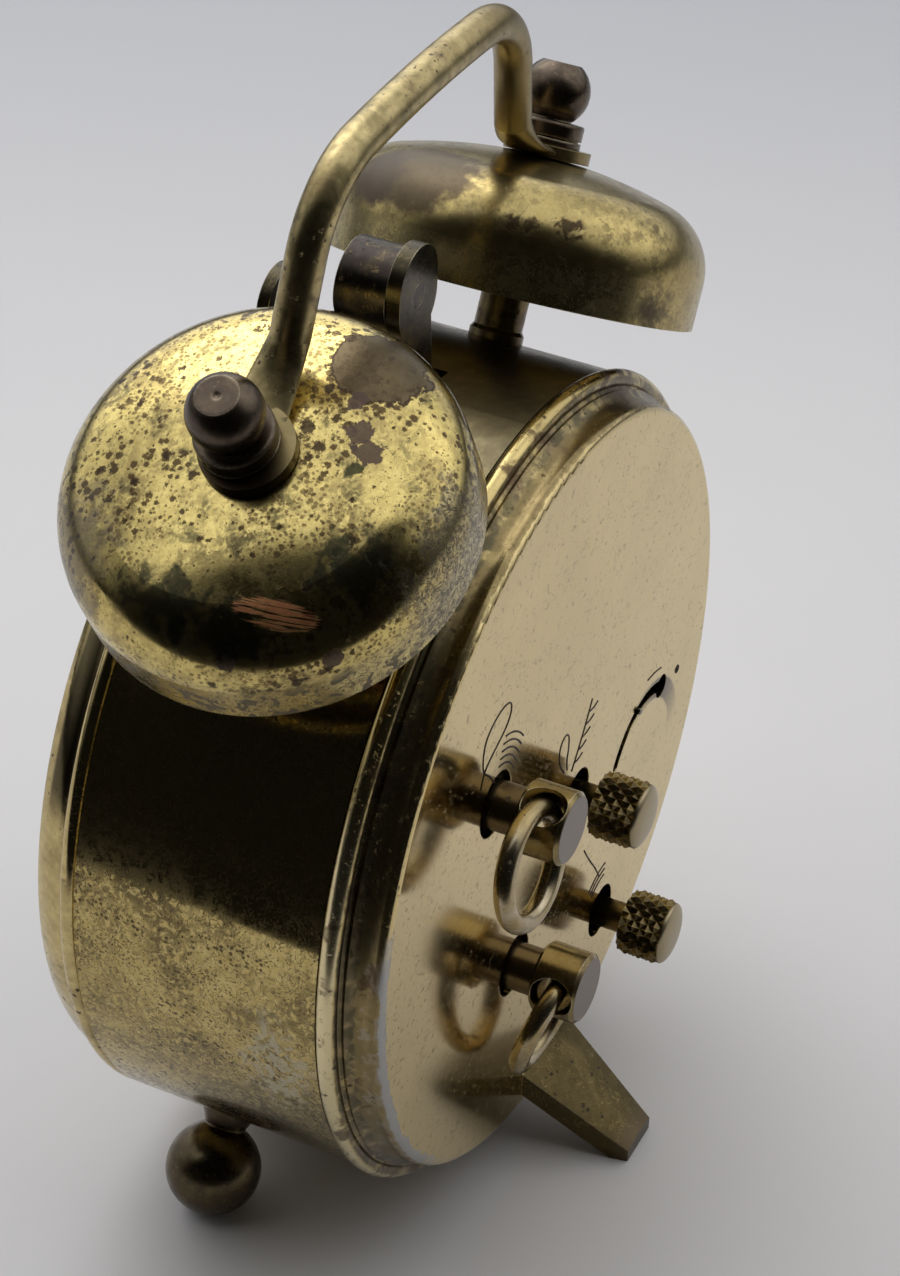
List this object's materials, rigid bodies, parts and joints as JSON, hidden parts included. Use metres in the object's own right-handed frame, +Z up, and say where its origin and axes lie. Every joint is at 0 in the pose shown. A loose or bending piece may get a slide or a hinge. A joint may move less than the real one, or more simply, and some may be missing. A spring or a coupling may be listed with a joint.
{
  "type": "wind-up twin-bell alarm clock",
  "caption": "Small wind-up alarm clock in aged brass: round drum case on ball feet, bells with a hammer between them, bail handle, winding keys and setting knobs on its back.",
  "frame": {"origin": "on the ground under the middle of the clock's bounding box", "axes": "+Z up, +Y from the dial to the back with its keys, +X to the right seen from the dial"},
  "size_m": [0.058, 0.0326, 0.0801],
  "materials": {
    "hand_steel": "black",
    "wheel_brass": "turned",
    "key_brass": "aged, pale machined end",
    "ring_brass": "worn pale",
    "knob_brass": "dark in the knurl, pale end",
    "hammer_brass": "aged",
    "back_brass": "satin champagne",
    "bell_brass": "aged, patched with tarnish",
    "post_brass": "aged",
    "steel": "turned",
    "handle_brass": "aged, small pits",
    "glass": "clear",
    "dial_white": "matt cream paint",
    "dial_ring_brass": "satin",
    "drum_brass": "aged, speckled",
    "dark_brass": "dark purple-brown bronze",
    "bezel_brass": "aged, polished high spots",
    "plate_brass": "satin",
    "leg_brass": "satin"
  },
  "bodies": {
    "case": {"drum": "drum_brass", "back_cover": "back_brass", "front_bezel": "bezel_brass", "crystal": "glass", "dial_ring": "dial_ring_brass", "dial": "dial_white", "bell_right": "bell_brass", "bell_left": "bell_brass", "bell_post_right": "post_brass", "bell_post_left": "post_brass", "finial_right": "dark_brass", "finial_left": "dark_brass", "foot_right": "dark_brass", "foot_left": "dark_brass", "stud_nuts": "steel", "carry_handle": "handle_brass", "rear_leg": "leg_brass", "front_plate": "plate_brass", "rear_plate": "plate_brass", "plate_pillars": "plate_brass"},
    "time_key": {"time_key": "key_brass"},
    "time_key_ring": {"time_key_ring": "ring_brass"},
    "alarm_key": {"alarm_key": "key_brass"},
    "alarm_key_ring": {"alarm_key_ring": "ring_brass"},
    "time_set": {"time_set_knob": "knob_brass", "minute_wheel": "wheel_brass"},
    "minute_hand": {"cannon_pinion": "steel", "minute_hand": "hand_steel"},
    "hour_hand": {"hour_wheel": "wheel_brass", "hour_hand": "hand_steel"},
    "alarm_set": {"alarm_set_knob": "knob_brass"},
    "alarm_idler": {"alarm_idler": "wheel_brass"},
    "alarm_hand": {"alarm_wheel": "wheel_brass", "alarm_hand": "hand_steel"},
    "hammer": {"hammer_arm": "hammer_brass", "hammer_arbor": "steel", "hammer_head": "hammer_brass"},
    "alarm_stop": {"alarm_stop": "hammer_brass"},
    "regulator": {"regulator": "steel"},
    "centre": {"centre_arbor": "steel"}
  },
  "joints": [
    {"name": "time_key_turn", "type": "hinge", "parent": "case", "child": "time_key", "pos_m": [0.0105, 0.00553, 0.0359], "axis": [0, 1, 0], "continuous": true},
    {"name": "alarm_key_turn", "type": "hinge", "parent": "case", "child": "alarm_key", "pos_m": [0.0062, 0.00553, 0.0189], "axis": [0, 1, 0], "continuous": true},
    {"name": "time_ring_swing", "type": "hinge", "parent": "time_key", "child": "time_key_ring", "pos_m": [0.0105, 0.01238, 0.0359], "axis": [0.454, 0, 0.891], "range_deg": [-20, 194]},
    {"name": "alarm_ring_swing", "type": "hinge", "parent": "alarm_key", "child": "alarm_key_ring", "pos_m": [0.0062, 0.01238, 0.0189], "axis": [0.9848, 0, 0.1736], "range_deg": [-5, 208]},
    {"name": "time_set_turn", "type": "hinge", "parent": "case", "child": "time_set", "pos_m": [-0.0031, 0.00553, 0.0268], "axis": [0, 1, 0], "continuous": true},
    {"name": "minute_hand_turn", "type": "hinge", "parent": "case", "child": "minute_hand", "pos_m": [0, 0.00553, 0.0295], "axis": [0, 1, 0], "continuous": true},
    {"name": "hour_hand_turn", "type": "hinge", "parent": "case", "child": "hour_hand", "pos_m": [0, 0.00553, 0.0295], "axis": [0, 1, 0], "continuous": true},
    {"name": "alarm_set_turn", "type": "hinge", "parent": "case", "child": "alarm_set", "pos_m": [-0.009, 0.00553, 0.0119], "axis": [0, 1, 0], "continuous": true},
    {"name": "alarm_idler_turn", "type": "hinge", "parent": "case", "child": "alarm_idler", "pos_m": [-0.00559, 0.00553, 0.01857], "axis": [0, 1, 0], "continuous": true},
    {"name": "alarm_hand_turn", "type": "hinge", "parent": "case", "child": "alarm_hand", "pos_m": [0, 0.00553, 0.0295], "axis": [0, 1, 0], "continuous": true},
    {"name": "hammer_swing", "type": "hinge", "parent": "case", "child": "hammer", "pos_m": [-0.0095, 0.00553, 0.0256], "axis": [0, 1, 0], "range_deg": [-3, 3], "stiffness_Nm_per_rad": 0.002},
    {"name": "alarm_stop_swing", "type": "hinge", "parent": "case", "child": "alarm_stop", "pos_m": [0.0024, 0.00553, 0.0475], "axis": [0, 1, 0], "range_deg": [-5, 2]},
    {"name": "regulator_turn", "type": "hinge", "parent": "case", "child": "regulator", "pos_m": [-0.0148, 0.00553, 0.02135], "axis": [0, 1, 0], "range_deg": [-40, 40]},
    {"name": "centre_turn", "type": "hinge", "parent": "case", "child": "centre", "pos_m": [0, 0.00553, 0.0295], "axis": [0, 1, 0], "continuous": true}
  ],
  "couplings": [
    {"joint": "minute_hand_turn", "follows": "time_set_turn", "ratio": -3},
    {"joint": "hour_hand_turn", "follows": "time_set_turn", "ratio": -0.25},
    {"joint": "alarm_idler_turn", "follows": "alarm_set_turn", "ratio": -0.25},
    {"joint": "alarm_hand_turn", "follows": "alarm_set_turn", "ratio": 0.2381}
  ]
}
